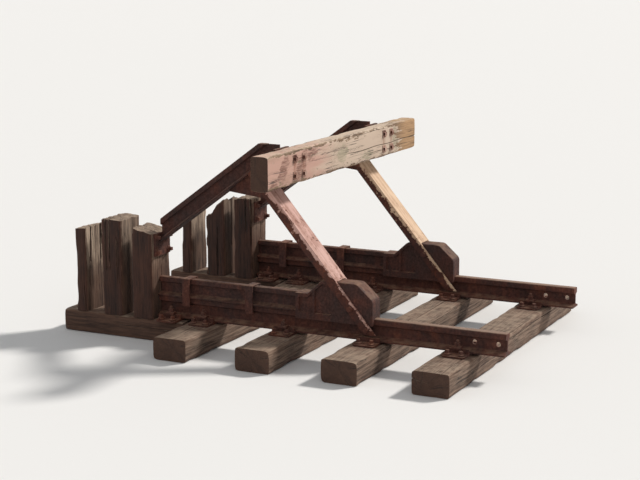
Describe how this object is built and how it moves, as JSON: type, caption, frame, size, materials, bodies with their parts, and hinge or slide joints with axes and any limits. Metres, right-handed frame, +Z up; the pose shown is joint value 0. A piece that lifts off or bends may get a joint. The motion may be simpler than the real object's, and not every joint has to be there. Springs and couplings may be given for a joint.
{
  "type": "railway buffer stop",
  "caption": "Buffer stop at the end of a standard-gauge track: a plank beam on raked struts that stand on the rails, backed by old-rail rakers and upright sleeper stubs.",
  "frame": {"origin": "on the track's centre line, under the middle of the whole part, at the level of the sleepers' undersides", "axes": "+X along the track towards the oncoming train, +Y across the track to the train driver's right, +Z up"},
  "size_m": [3.4, 2.6, 1.467],
  "materials": {
    "rail_steel": "rolled steel, red-brown rust, head worn smoother",
    "old_rail_steel": "old rolled steel, dark rust",
    "cast_shoe": "rough casting, dark rust",
    "strut_paint_left": "faded pinkish paint, chalky, with rust",
    "strut_paint_right": "faded cream paint, chalky, with rust",
    "beam_timber": "faded whitish and pinkish paint on a weathered plank, bare at one end",
    "sleeper_timber": "weathered, tarred sleeper timber",
    "post_timber": "split and greyed sleeper timber",
    "base_plate_steel": "rusted plate",
    "fitting_steel": "rusted plate and bar with remains of paint"
  },
  "bodies": {
    "root": {"base_plate_left_1": "base_plate_steel", "base_plate_left_2": "base_plate_steel", "base_plate_left_3": "base_plate_steel", "base_plate_left_4": "base_plate_steel", "base_plate_left_5": "base_plate_steel", "base_plate_right_1": "base_plate_steel", "base_plate_right_2": "base_plate_steel", "base_plate_right_3": "base_plate_steel", "base_plate_right_4": "base_plate_steel", "base_plate_right_5": "base_plate_steel", "buffer_beam": "beam_timber", "foot_bolt_left": "fitting_steel", "foot_bolt_right": "fitting_steel", "foot_shoe_left": "cast_shoe", "foot_shoe_right": "cast_shoe", "head_bracket_left": "fitting_steel", "head_bracket_right": "fitting_steel", "head_gusset_left": "fitting_steel", "head_gusset_right": "fitting_steel", "heel_plate_left": "fitting_steel", "heel_plate_right": "fitting_steel", "post_front_left": "post_timber", "post_front_right": "post_timber", "post_middle_left": "post_timber", "post_middle_right": "post_timber", "post_rear_left": "post_timber", "post_rear_right": "post_timber", "raker_left": "old_rail_steel", "raker_right": "old_rail_steel", "running_rail_left": "rail_steel", "running_rail_right": "rail_steel", "sill_rail_left": "old_rail_steel", "sill_rail_right": "old_rail_steel", "sill_strap_left_1": "fitting_steel", "sill_strap_left_2": "fitting_steel", "sill_strap_right_1": "fitting_steel", "sill_strap_right_2": "fitting_steel", "sleeper_1": "sleeper_timber", "sleeper_2": "sleeper_timber", "sleeper_3": "sleeper_timber", "sleeper_4": "sleeper_timber", "sole_timber_left": "sleeper_timber", "sole_timber_right": "sleeper_timber", "strut_left": "strut_paint_left", "strut_right": "strut_paint_right"}
  },
  "joints": []
}
